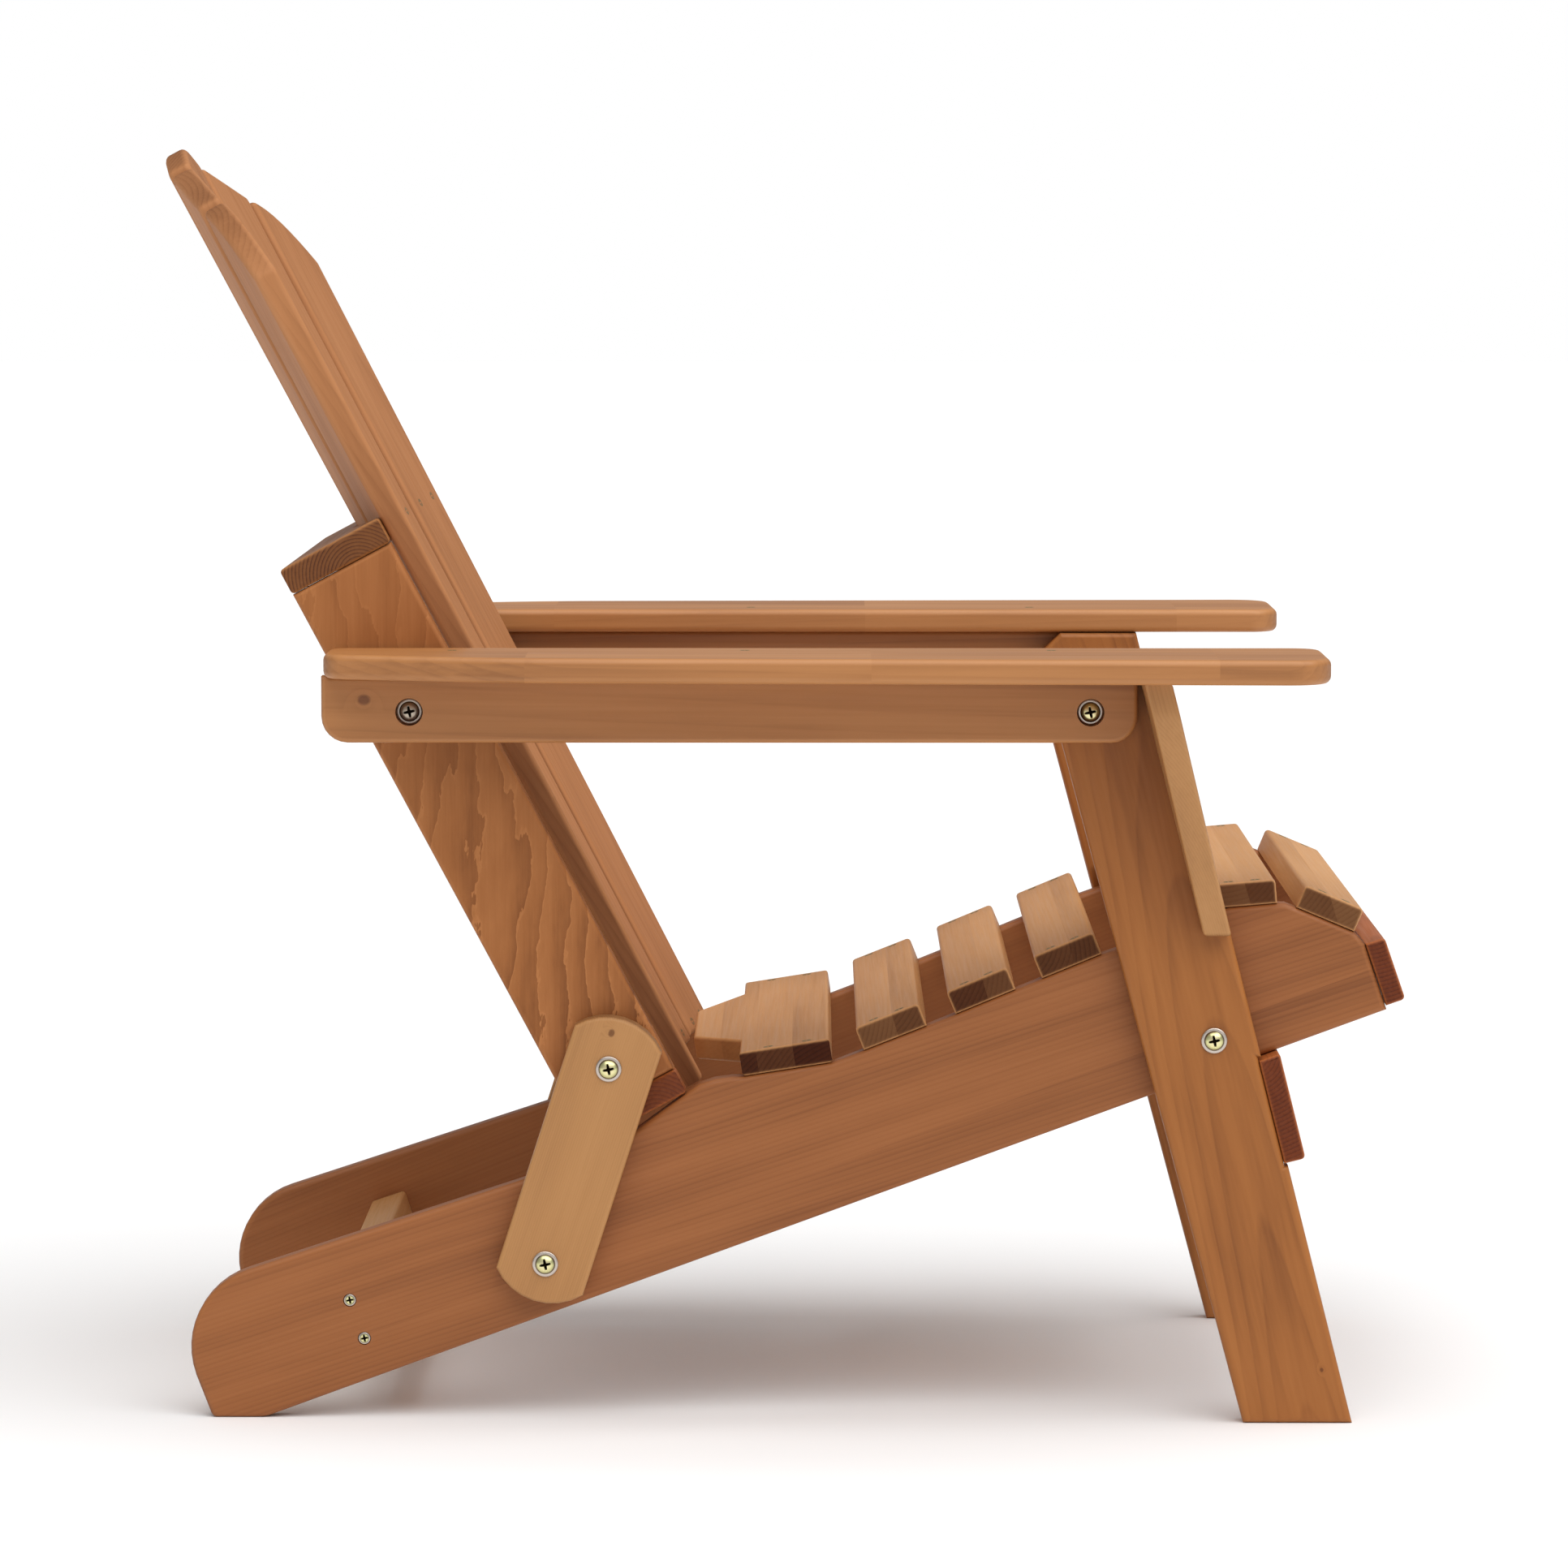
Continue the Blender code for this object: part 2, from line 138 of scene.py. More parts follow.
def fir(name, **changes):
    s = {**firFinish, **changes}
    m, t, shader = newMaterial(name, **{"IOR": 1.47, "Specular IOR Level": s["gloss"]})
    pos = addNode(t, "Attribute", attribute_name="boardPos").outputs["Vector"]
    tone = addNode(t, "Attribute", attribute_name="boardTone").outputs["Fac"]
    end = addNode(t, "Attribute", attribute_name="endGrain").outputs["Fac"]
    wearAndPaintedLight = addNode(t, "Attribute", attribute_name="wearAndPaintedLight").outputs["Fac"]
    knotAt = addNode(t, "Attribute", attribute_name="knotAt").outputs["Vector"]
    # darkness is 0 for early wood, 0.5 for the mid colour and 1 for late wood; the start value makes
    # the layers and rings average out to nothing
    start = 0.5 - 0.5 * sum(layer[2] for layer in s["layers"])
    start -= s["ringMean"] * s["ringContrast"] + 0.5 * s["strips"]
    dark = addNode(t, "Math", {0: tone, 1: start}, operation="ADD")
    if s["strips"]:
        # every glued strip comes from another log: its pattern and its tone jump at the joint
        strip = addNode(t, "Attribute", attribute_name="strip").outputs["Fac"]
        index = addNode(t, "Math", {0: strip}, operation="FLOOR")
        log = addNode(t, "TexWhiteNoise", {"W": index}, noise_dimensions="1D")
        pos = addNode(t, "VectorMath", {0: log.outputs["Color"], 1: s["jump"], 2: pos},
                      operation="MULTIPLY_ADD").outputs[0]
        dark = addNode(t, "Math", {0: log, 1: s["strips"], 2: dark}, operation="MULTIPLY_ADD")
        soak = addNode(t, "MapRange", {0: log.outputs["Value"], 3: s["soak"][0], 4: s["soak"][1]})
        end = addNode(t, "Math", {0: end, 1: soak}, operation="MULTIPLY").outputs[0]
    for scale, detail, strength in s["layers"]:
        at = addNode(t, "VectorMath", {0: pos, 1: scale}, operation="MULTIPLY")
        layer = addNode(t, "TexNoise", {"Vector": at, "Scale": 1.0, "Detail": detail})
        dark = addNode(t, "Math", {0: layer, 1: strength, 2: dark}, operation="MULTIPLY_ADD")
    # growth rings: distance from the pith, straying with a slow noise and bulging round a knot,
    # wrapped at the ring's width
    flat = addNode(t, "VectorMath", {0: pos, 1: (0, 1, 1)}, operation="MULTIPLY")
    radius = addNode(t, "VectorMath", {0: flat}, operation="LENGTH").outputs["Value"]
    at = addNode(t, "VectorMath", {0: pos, 1: s["wanderScale"]}, operation="MULTIPLY")
    stray = addNode(t, "TexNoise", {"Vector": at, "Scale": 1.0, "Detail": s["wanderDetail"],
                                    "Roughness": s["wanderRough"]})
    radius = addNode(t, "Math", {0: stray, 1: s["wander"], 2: radius}, operation="MULTIPLY_ADD")
    knotFar = addNode(t, "VectorMath", {0: knotAt}, operation="LENGTH").outputs["Value"]
    bulge = addNode(t, "MapRange", {0: knotFar, 1: 0.0, 2: s["knotReach"], 3: s["knotBulge"], 4: 0.0},
                    interpolation_type="SMOOTHSTEP")
    radius = addNode(t, "Math", {0: radius, 1: bulge}, operation="ADD")
    turns = addNode(t, "Math", {0: radius, 1: s["ringWidth"]}, operation="DIVIDE")
    phase = addNode(t, "Math", {0: turns}, operation="FRACT")
    ring = addNode(t, "ValToRGB", {0: phase})
    setStops(ring, [(p, (v, v, v, 1)) for p, v in s["ringShape"]])
    gain = addNode(t, "Attribute", attribute_name="ringGain").outputs["Fac"]
    contrast = addNode(t, "Math", {0: gain, 1: s["ringContrast"]}, operation="MULTIPLY")
    contrast = addNode(t, "Math", {0: end, 1: s["ringOnEnd"], 2: contrast}, operation="MULTIPLY_ADD")
    dark = addNode(t, "Math", {0: ring, 1: contrast, 2: dark}, operation="MULTIPLY_ADD")
    # arrises paler from wear and a painted highlight, and long edges darker where shade is painted on them
    dark = addNode(t, "Math", {0: wearAndPaintedLight, 1: -s["arrisWearAndHighlight"], 2: dark}, operation="MULTIPLY_ADD")
    knot = addNode(t, "MapRange", {0: knotFar, 1: s["knotEdge"][0], 2: s["knotEdge"][1], 3: 0.0,
                                   4: s["knotDark"]})
    dark = addNode(t, "Math", {0: dark, 1: knot}, operation="ADD", use_clamp=True)
    colour = addNode(t, "ValToRGB", {0: dark})
    setStops(colour, [(0.0, linear(s["mid"], s["light"])), (0.5, linear(s["mid"])),
                      (1.0, linear(s["mid"], s["deep"]))])
    # end grain drinks more oil: the colour is multiplied, so the rings still show in it
    mix = addNode(t, "Mix", {0: end, 6: colour, 7: (*s["end"], 1.0)}, data_type="RGBA",
                  blend_type="MULTIPLY")
    t.links.new(mix.outputs[2], shader.inputs["Base Color"])
    smoothest, roughest = (s["roughness"] + change for change in s["roughSpread"])
    rough = addNode(t, "MapRange", {0: layer, 1: 0.3, 2: 0.7, 3: smoothest, 4: roughest})
    rough = addNode(t, "Math", {0: end, 1: s["endRough"], 2: rough}, operation="MULTIPLY_ADD")
    t.links.new(rough.outputs[0], shader.inputs["Roughness"])
    height = addNode(t, "Math", {0: ring, 1: -s["ringDepth"], 2: layer}, operation="MULTIPLY_ADD")
    bump = addNode(t, "Bump", {"Strength": s["bump"], "Distance": s["bumpDepth"], "Height": height})
    t.links.new(bump.outputs[0], shader.inputs["Normal"])
    return m


# Yellow zinc plate on pressed steel: a bright straw dome with a green cast, a painted reflection band
# that is dark where it would mirror the dark wood, a silver rim and a driver recess painted dark as shade. bands
# go by radius share.
zincFinish = {
    "bands": ((0.0, "#F4E8BC"), (0.40, "#EEE4B0"), (0.60, "#DDDCA0"), (0.69, "#BDB88A"),
              (0.74, "#6E6850"), (0.79, "#9C9588"), (0.84, "#CFC4BA"), (1.0, "#C4B8AE")),
    # the driver recess is painted near black, as the shade in it
    "recess": "#1D150C",
    "blur": 0.06,                    # how far the bands stray, as a share of the radius
    "roughness": 0.26,
    "recessRough": 0.4,              # added in the recess
    "cloudRough": 0.16,              # and where the plating is cloudy
    "cloud": 260.0,                  # cloudy patches and fine scratches, 1 / size in metres
    "scratch": 1800.0,
    "bump": 0.06,
    "bumpDepth": 0.05 * mm,
}
# worn and dull plating; the worn one keeps a painted dark reflection band, and each paints its recess dark as
# shade
wornBands = ((0.0, "#D2C6B4"), (0.5, "#B4A898"), (0.69, "#9A8E80"), (0.77, "#6A6054"),
             (0.84, "#C8BCB0"), (1.0, "#C4B8AE"))
dullBands = ((0.0, "#8C8468"), (1.0, "#7C7A4C"))


def zincPlate(name, **changes):
    s = {**zincFinish, **changes}
    m, t, shader = newMaterial(name, Metallic=1.0)
    spun = addNode(t, "Attribute", attribute_name="spun").outputs["Vector"]    # radius share, recess, 0
    split = addNode(t, "SeparateXYZ", {0: spun})
    at = addNode(t, "TexCoord").outputs["Object"]
    cloud = addNode(t, "TexNoise", {"Vector": at, "Scale": s["cloud"], "Detail": 2.0})
    blur = addNode(t, "Math", {0: cloud, 1: s["blur"], 2: split}, operation="MULTIPLY_ADD")
    band = addNode(t, "ValToRGB", {0: blur})
    setStops(band, [(p, linear(c)) for p, c in s["bands"]])
    # painted shade in the driver recess
    mix = addNode(t, "Mix", {0: split.outputs[1], 6: band, 7: linear(s["recess"])}, data_type="RGBA")
    t.links.new(mix.outputs[2], shader.inputs["Base Color"])
    worn = addNode(t, "Math", {0: split.outputs[1], 1: s["recessRough"], 2: s["roughness"]},
                   operation="MULTIPLY_ADD")
    rough = addNode(t, "Math", {0: cloud, 1: s["cloudRough"], 2: worn}, operation="MULTIPLY_ADD")
    t.links.new(rough.outputs[0], shader.inputs["Roughness"])
    scratch = addNode(t, "TexNoise", {"Vector": at, "Scale": s["scratch"], "Detail": 1.0})
    bump = addNode(t, "Bump", {"Strength": s["bump"], "Distance": s["bumpDepth"], "Height": scratch})
    t.links.new(bump.outputs[0], shader.inputs["Normal"])
    return m


# other shapes of ring and other layers: pale contour lines, patchy boards and evenly coloured ones
contour = ((0.0, 0.78), (0.35, 0.56), (0.80, 0.34), (0.92, 0.26), (0.95, 0.0), (0.985, 0.0),
           (1.0, 0.78))
cloudy = (((2.5, 16.0, 16.0), 4.0, 0.85), ((2.5, 60.0, 60.0), 3.0, 0.50),
          ((6.0, 300.0, 300.0), 3.0, 0.26))
smooth = (((3.0, 20.0, 20.0), 4.0, 0.60), ((3.0, 130.0, 130.0), 2.0, 0.12),
          ((8.0, 480.0, 480.0), 3.0, 0.12))
materials = {
    "stringer": fir("oiledFirRed", mid="#975C31", strips=0.28, ringContrast=0.13, ringWidth=3.0 * mm,
                    wander=9.0 * mm, layers=cloudy),
    "leg": fir("oiledFirGolden", mid="#9D602C", ringWidth=7.0 * mm, ringContrast=0.16,
               wander=14.0 * mm, wanderScale=(2.4, 10.0, 10.0), layers=cloudy),
    "link": fir("oiledFirPale", mid="#B3814F", ringWidth=1.7 * mm, ringContrast=0.10,
                wander=1.6 * mm, layers=smooth),
    "stile": fir("oiledFirFlatSawn", mid="#9F6437", ringWidth=23.0 * mm, ringContrast=0.85,
                 ringShape=contour, wander=96.0 * mm, wanderScale=(7.0, 17.0, 17.0),
                 wanderDetail=6.0, wanderRough=0.56, gloss=0.2),
    "slat": fir("oiledFirGlued", mid="#BE8A59", strips=0.16, ringWidth=3.4 * mm, ringContrast=0.05,
                layers=smooth, gloss=0.15, end=(0.10, 0.04, 0.02), ringOnEnd=0.25),
    "dark": fir("oiledFirDark", mid="#AB602F", ringContrast=0.20, ringWidth=3.0 * mm,
                end=(0.36, 0.24, 0.15), ringOnEnd=0.15),
    "rail": fir("oiledFirRail", mid="#9E6838", ringContrast=0.20, ringWidth=2.6 * mm,
                end=(0.40, 0.30, 0.22), ringOnEnd=0.6),
    "arm": fir("oiledFirArm", mid="#AA713F", strips=0.10, ringWidth=5.0 * mm, ringContrast=0.10,
               layers=cloudy, gloss=0.5),
    "plank": fir("oiledFirPlank", mid="#AE764C", ringContrast=0.08, layers=smooth, gloss=0.15,
                 roughness=0.62),
    "zinc": zincPlate("yellowZincPlate"),
    "zincWorn": zincPlate("yellowZincWorn", bands=wornBands, recess="#241B12", roughness=0.36),
    "zincDull": zincPlate("yellowZincDull", bands=dullBands, recess="#120D08", roughness=0.42),
}
print("finishes done")


weld = 2e-6                 # points closer than this are one, metres
flatEnough = 3e-5           # points nearer than this to a side's plane lie on it


def solid(node):
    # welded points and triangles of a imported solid
    mesh = nodes[node].data
    co = np.empty(len(mesh.vertices) * 3, np.float32)
    mesh.vertices.foreach_get("co", co)
    mesh.calc_loop_triangles()
    tri = np.empty(len(mesh.loop_triangles) * 3, np.int32)
    mesh.loop_triangles.foreach_get("vertices", tri)
    key = np.round(co.reshape(-1, 3) / weld).astype(np.int64)
    _, first, back = np.unique(key, axis=0, return_index=True, return_inverse=True)
    tri = back.reshape(-1)[tri].reshape(-1, 3)
    whole = (tri[:, 0] != tri[:, 1]) & (tri[:, 1] != tri[:, 2]) & (tri[:, 0] != tri[:, 2])
    return co.reshape(-1, 3)[first].astype(float), tri[whole]


def triangleNormals(co, tri):
    n = np.cross(co[tri[:, 1]] - co[tri[:, 0]], co[tri[:, 2]] - co[tri[:, 0]])
    twiceArea = np.linalg.norm(n, axis=1)
    return n / np.maximum(twiceArea, 1e-15)[:, None], twiceArea


def flatSide(node, toward):
    # normal of the largest flat side that looks the way of toward: areas summed by direction, where
    # directions are one when they round to the same 500th, and look that way within 72 degrees
    n, area = triangleNormals(*solid(node))
    groups, group = np.unique(np.round(n * 500).astype(int), axis=0, return_inverse=True)
    total = np.bincount(group.reshape(-1), weights=area) * (groups @ unit(toward) > 0.3 * 500)
    chosen = group.reshape(-1) == int(np.argmax(total))
    return unit((n[chosen] * area[chosen][:, None]).sum(0))


def outlines(node, normal):
    # outline and holes of the side facing normal: edges that only one of its triangles has, chained
    co, tri = solid(node)
    n, _ = triangleNormals(co, tri)
    height = co @ normal
    side = (n @ normal > 0.999) & (height[tri].min(1) > height.max() - flatEnough)
    pairs = np.concatenate([tri[side][:, [0, 1]], tri[side][:, [1, 2]], tri[side][:, [2, 0]]])
    edges = set(map(tuple, pairs.tolist()))
    after = {a: b for a, b in edges if (b, a) not in edges}
    loops = []
    while after:
        start = min(after)
        ring, at = [start], after.pop(start)
        while at != start:
            ring.append(at)
            at = after.pop(at)
        loops.append(co[ring])
    return sorted(loops, key=lambda ring: -float(np.ptp(ring, axis=0).max()))


def addMesh(name, co, faces, material, cornerNormals=None, attributes=None):
    # attributes: name -> (domain, array); three columns make a vector, one a float
    mesh = bpy.data.meshes.new(name)
    mesh.from_pydata(co.tolist(), [], faces)
    for key, (domain, values) in (attributes or {}).items():
        kind, field = ("FLOAT_VECTOR", "vector") if np.ndim(values) == 2 else ("FLOAT", "value")
        layer = mesh.attributes.new(key, kind, domain)
        layer.data.foreach_set(field, np.asarray(values, np.float32).reshape(-1))
    mesh.polygons.foreach_set("use_smooth", np.ones(len(mesh.polygons), bool))
    if cornerNormals is not None:
        mesh.normals_split_custom_set(cornerNormals.tolist())
    mesh.materials.append(material)
    piece = bpy.data.objects.new(name, mesh)
    bpy.context.scene.collection.objects.link(piece)
    return piece


boardDefaults = {
    "arris": 4.0 * mm,          # radius of the rounded edges
    "arrisSteps": 4,
    "tone": 0.0,                # lighter below 0, darker above
    "fade": 0.0,                # change of tone for each metre along the board
    "edgeDark": (0.0, 0.0),     # painted shade on the long edges: its strength at the middle, and its change for each metre, in units of the arris paleness
                                # metre, in units of the arris wear
    "ringGain": (1.0, 0.0),     # strength of the rings at the middle, and its change for each metre
    "pith": (0.02, 0.06),       # pith's distance from the middle, across and through the board, metres
    "tilt": (0.0, 0.02),        # how far the pith drifts for each metre along the board
    "endDark": 0.35,
    "strips": None,             # (first joint's place, strip width), metres across the board
    "fingers": None,            # the same along the board, for finger joints
    "knot": None,               # (along, across, radius) from the board's middle, metres
    "sunk": None,               # (least radius, most radius, depth) of the round pockets that show
    "sweep": None,              # the way the outline is carried, if it isn't square to the face
    "pocketSides": 48,
    "shortEdge": 0.25 * mm,     # shorter edges of the outline are left out
    "smoothTurn": 38.0,         # an outline that turns by less than this many degrees is a curve
    "endLean": (0.55, 0.95),    # end grain grows between these cosines of the angle to the grain
    "edgeLean": (0.8, 1.0),     # and a long edge between these cosines of the angle to its own normal
}
logs = np.random.default_rng(7)     # each board is cut from its own place along a log
noKnot = 50.0                       # a knot this many radii away doesn't show


def board(node, material, facing, grain, **changes):
    # The outline of the side facing "facing", carried through the thickness. Its edges are rounded by
    # quarter circles: inset arris * (1 - cos f), depth arris * (1 - sin f), f from 90 degrees to 0.
    s = {**boardDefaults, **changes}
    facing = unit(facing)
    co, _ = solid(node)
    loops = outlines(node, facing)
    ring = loops[0][np.linalg.norm(loops[0] - np.roll(loops[0], 1, 0), axis=1) > s["shortEdge"]]
    thick = float(np.ptp(co @ facing))
    sweep = -facing * thick if s["sweep"] is None else np.asarray(s["sweep"], float)
    n = len(ring)
    edge = np.roll(ring, -1, 0) - ring
    edge /= np.linalg.norm(edge, axis=1)[:, None]
    out = np.cross(edge, facing)
    before = np.roll(out, 1, 0)
    mitre = (out + before) / (1 + np.clip((out * before).sum(1), -0.5, 1))[:, None]
    curved = (out * before).sum(1) > math.cos(math.radians(s["smoothTurn"]))
    between = (out + before) / np.linalg.norm(out + before, axis=1)[:, None]
    startNormal = np.where(curved[:, None], between, out)
    endNormal = np.where(np.roll(curved, -1)[:, None], np.roll(between, -1, 0), out)
    r = min(s["arris"], 0.45 * thick)
    f = np.radians(np.linspace(90, 0, s["arrisSteps"] + 1))
    inset = np.concatenate([r * (1 - np.cos(f)), (r * (1 - np.cos(f)))[::-1]])
    deep = np.concatenate([r * (1 - np.sin(f)), thick - (r * (1 - np.sin(f)))[::-1]]) / thick
    tip = np.concatenate([np.sin(f), -np.sin(f)[::-1]])
    flat = np.concatenate([np.cos(f), np.cos(f)[::-1]])
    rows = len(inset)
    verts = ring[None] - mitre[None] * inset[:, None, None] + sweep[None, None] * deep[:, None, None]
    verts = verts.reshape(-1, 3)
    j, k = np.arange(n), np.arange(rows - 1)[:, None]
    quads = np.stack([k * n + j, (k + 1) * n + j, (k + 1) * n + (j + 1) % n, k * n + (j + 1) % n], -1)

    def normalAt(base, row):
        return base[None] * flat[row][:, None, None] + facing * tip[row][:, None, None]

    up, low = np.arange(rows - 1), np.arange(1, rows)
    normals = [np.stack([normalAt(startNormal, up), normalAt(startNormal, low),
                         normalAt(endNormal, low), normalAt(endNormal, up)], 2).reshape(-1, 3)]
    bend = [np.stack([np.broadcast_to((2 * np.abs(tip * flat))[q][:, None], (rows - 1, n))
                      for q in (up, low, low, up)], -1).reshape(-1)]
    faces = quads.reshape(-1, 4).tolist()

    # the shallow round pockets where bolt heads and screws are sunk in
    sidesOf = s["pocketSides"]
    rounds, starts = [], []
    for hole in loops[1:] if s["sunk"] else []:
        centre = hole.mean(0)
        radius = float(np.linalg.norm(hole - centre, axis=1).max())
        if s["sunk"][0] < radius < s["sunk"][1]:
            a = np.linspace(0, 2 * np.pi, sidesOf, endpoint=False)[:, None]
            e1 = unit(np.cross(facing, (0.1, 0.7, 0.4)))
            circle = centre + radius * (np.cos(a) * e1 + np.sin(a) * np.cross(facing, e1))
            starts.append(len(verts))
            rounds.append((centre - circle) / radius)
            verts = np.concatenate([verts, circle, circle - facing * s["sunk"][2]])

    def cap(loopIndices, sign):
        index = np.concatenate(loopIndices)
        filled = tessellate_polygon([[tuple(verts[i]) for i in loop] for loop in loopIndices])
        tris = index[np.array(filled)]
        turned, _ = triangleNormals(verts, tris)
        wrong = (turned @ facing) * sign < 0
        tris[wrong] = tris[wrong][:, ::-1]
        normals.append(np.tile(facing * sign, (3 * len(tris), 1)))
        bend.append(np.zeros(3 * len(tris)))
        return tris.tolist()

    pocketRing = np.arange(sidesOf)
    faces += cap([j] + [start + pocketRing for start in starts], 1)
    faces += cap([(rows - 1) * n + j], -1)
    for start, inward in zip(starts, rounds):
        after = (pocketRing + 1) % sidesOf
        faces += np.stack([start + pocketRing, start + after, start + sidesOf + after,
                           start + sidesOf + pocketRing], -1).tolist()
        normals.append(np.stack([inward, np.roll(inward, -1, 0), np.roll(inward, -1, 0), inward], 1)
                       .reshape(-1, 3))
        faces.append((start + sidesOf + pocketRing).tolist())
        normals.append(np.tile(facing, (sidesOf, 1)))
        bend.append(np.zeros(sidesOf * 5))
    normals, bend = np.concatenate(normals), np.concatenate(bend)
    normals /= np.linalg.norm(normals, axis=1)[:, None]

    # where each point lies in the log: along the grain, across the pith, through to the pith
    onEnd = abs(np.dot(unit(grain), facing)) > 0.9
    grain = unit(grain) if onEnd else unit(np.asarray(grain, float) - facing * np.dot(grain, facing))
    wide = unit(np.cross(grain, (0, 0.3, 1)) if onEnd else np.cross(facing, grain))
    rel = verts - (co.min(0) + co.max(0)) / 2
    along, across, through = rel @ grain, rel @ wide, rel @ np.cross(grain, wide)
    shift = logs.uniform(-3, 3)
    place = np.stack([along + shift, across + s["pith"][0] + s["tilt"][0] * along,
                      through + s["pith"][1] + s["tilt"][1] * along], -1)
    knotAt = np.full((len(rel), 3), noKnot)
    if s["knot"]:
        # in radii of the knot, which is a quarter longer along the grain
        knotAt = np.stack([along - s["knot"][0], across - s["knot"][1], 0 * along], -1) / s["knot"][2]
        knotAt *= (0.8, 1, 1)
    strip = np.full(len(rel), 0.5)
    if s["strips"]:
        strip = (across - s["strips"][0]) / s["strips"][1] + round(shift * 10)
    if s["fingers"]:
        strip = (along - s["fingers"][0]) / s["fingers"][1] + round(shift * 10)
    atEnd = np.interp(np.abs(normals @ grain), s["endLean"], (0, 1)) * s["endDark"]
    longEdge = np.interp(np.abs(normals @ wide), s["edgeLean"], (0, 1))
    # painted shade on the long edges, darker where parts in front shade them
    edgeShade = np.maximum(s["edgeDark"][0] + s["edgeDark"][1] * along[np.concatenate(faces)], 0)
    attributes = {
        "boardPos": ("POINT", place),
        "knotAt": ("POINT", knotAt),
        "strip": ("POINT", strip),
        "boardTone": ("POINT", s["tone"] + s["fade"] * along),
        "ringGain": ("POINT", s["ringGain"][0] + s["ringGain"][1] * along),
        "endGrain": ("CORNER", atEnd),
        # paler arrises (wear and a painted highlight) less the painted shade on long edges
        "wearAndPaintedLight": ("CORNER", bend - edgeShade * longEdge)}
    piece = addMesh(node + "_board", verts, faces, materials[material], normals, attributes)
    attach(piece, bodyOf[node])
    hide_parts(node)
    return piece


across = np.array([1.0, 0, 0])
seatFrame = {
    "run": (0, 0.939, -0.3447),              # down the stringers, front to back
    "stringerTone": {"right": 0.0, "left": -0.08},
    "stringerArris": 4.2 * mm,
    "stringerJoint": 32 * mm,                # glue joint above the lower edge
    "stringerStrip": 0.3,                    # wider than the rest of the board, so there is one joint
    "screwPockets": (4.4 * mm, 6 * mm, 2.4 * mm),
    "slatArris": 2.6 * mm,
    "slatTone": (0.0, -0.02, -0.06, -0.02, 0.05, -0.24, -0.16),
    "slatEnd": (1.0, 0.9, 0.96, 0.98, 0.95, 0.93, 0.85),
    "slatStrips": (3 * mm, 27 * mm),
    "slatPith": ((0.01, 0.05), (0.0, 0.03), (0.02, 0.02), (0.01, -0.03), (0.0, 0.05), (0.0, 0.04),
                 (0.01, 0.03)),
}
for tag, sx in sides:
    # the joint lies a set height above the lower edge, the board's lowest point across the grain
    node = "stringer_" + tag
    co, _ = solid(node)
    up = unit(np.cross((sx, 0, 0), unit(seatFrame["run"])))
    rel = (co - (co.min(0) + co.max(0)) / 2) @ up
    joint = (rel * np.sign(up[2])).min() + seatFrame["stringerJoint"]
    board(node, "stringer", (sx, 0, 0), seatFrame["run"], arris=seatFrame["stringerArris"],
          tone=seatFrame["stringerTone"][tag], pith=(0.12, 0.05), tilt=(0.03, 0.01),
          strips=(joint * np.sign(up[2]), seatFrame["stringerStrip"]), sunk=seatFrame["screwPockets"])
for i, tone in enumerate(seatFrame["slatTone"]):
    # the rear slat narrows between the stiles, so it takes the outline of its top, the others of an end
    node = "seat_slat_%d" % (i + 1)
    facing = flatSide(node, (0, 0, 1)) if i == 0 else (-1, 0, 0)
    board(node, "slat", facing, across, arris=seatFrame["slatArris"], tone=tone,
          endDark=seatFrame["slatEnd"][i], pith=seatFrame["slatPith"][i], tilt=(0.004, 0.006),
          strips=seatFrame["slatStrips"])
board("seat_apron", "dark", (-1, 0, 0), across, arris=seatFrame["slatArris"], tone=0.1,
      pith=(0.0, 0.05), endDark=1.0)
board("rear_brace", "link", (-1, 0, 0), across, arris=1.0 * mm, tone=-0.35, pith=(0.0, 0.05))
print("seat frame done")

legs = {
    "run": (0, 0.2523, 1.0),                 # up the legs
    "bracketSweep": (0, 19.9 * mm, 0),       # their outline is carried level, not square to it
    "arris": 2.6 * mm,
    "knot": (-0.247, -0.027, 1.3 * mm),      # a pin knot, low on the right leg
}
for tag, sx in sides:
    board("leg_" + tag, "leg", (sx, 0, 0), legs["run"], pith=(0.012, 0.03), tilt=(0.012, 0.05),
          knot=legs["knot"] if sx < 0 else None)
    board("arm_bracket_" + tag, "link", flatSide("arm_bracket_" + tag, (0, -1, 0.25)), legs["run"],
          arris=legs["arris"], tone=0.05, pith=(0.03, 0.05), sweep=legs["bracketSweep"])
board("leg_brace", "dark", (-1, 0, 0), across, arris=legs["arris"], tone=0.05, pith=(0.01, 0.05),
      endDark=1.0)
print("legs done")

links = {"arris": 3.2 * mm, "knot": (0.096, 0.006, 2.2 * mm)}
linkRun = (pivot["back_turn"] - pivot["link_right_turn"]) * (0, 1, 1)
for tag, sx in sides:
    board("link_" + tag, "link", (sx, 0, 0), linkRun, arris=links["arris"], pith=(0.3, 0.05),
          tilt=(0.01, 0.0), knot=links["knot"] if sx < 0 else None)
print("links done")

